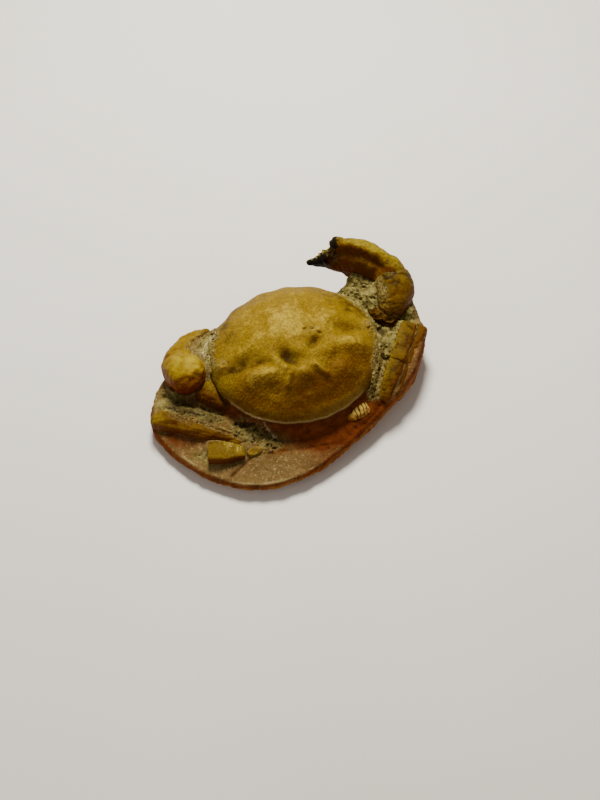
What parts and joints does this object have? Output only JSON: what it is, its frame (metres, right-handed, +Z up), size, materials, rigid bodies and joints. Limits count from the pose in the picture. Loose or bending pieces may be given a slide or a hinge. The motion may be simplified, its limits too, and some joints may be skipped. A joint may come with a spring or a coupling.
{
  "type": "fossil crab",
  "caption": "Fossil crab with a vaulted oval carapace, claws and leg pieces, lying in its own rounded slab of limestone that rests on a flat underside.",
  "frame": {"origin": "on the slab's flat underside, below the middle of the carapace", "axes": "+X towards the crab's right, +Y towards the crab's front, +Z up out of the slab"},
  "size_m": [0.1313, 0.097, 0.0385],
  "materials": {
    "limestone": "rough limestone, fine-grained on the ledge and gritty in the channels",
    "shell": "satin fossil shell, ochre to olive",
    "shell_dark": "dark, worn claw tip"
  },
  "bodies": {
    "root": {"matrix_slab": "limestone", "carapace": "shell", "right_claw_wrist": "shell", "right_claw_palm": "shell", "right_claw_finger": "shell_dark", "right_claw_arm": "shell", "right_leg_upper": "shell", "right_leg_lower": "shell", "right_second_leg": "shell", "left_claw_palm": "shell", "left_claw_arm": "shell", "left_leg": "shell", "left_leg_fragment": "shell", "ribbed_fragment": "shell"}
  },
  "joints": []
}
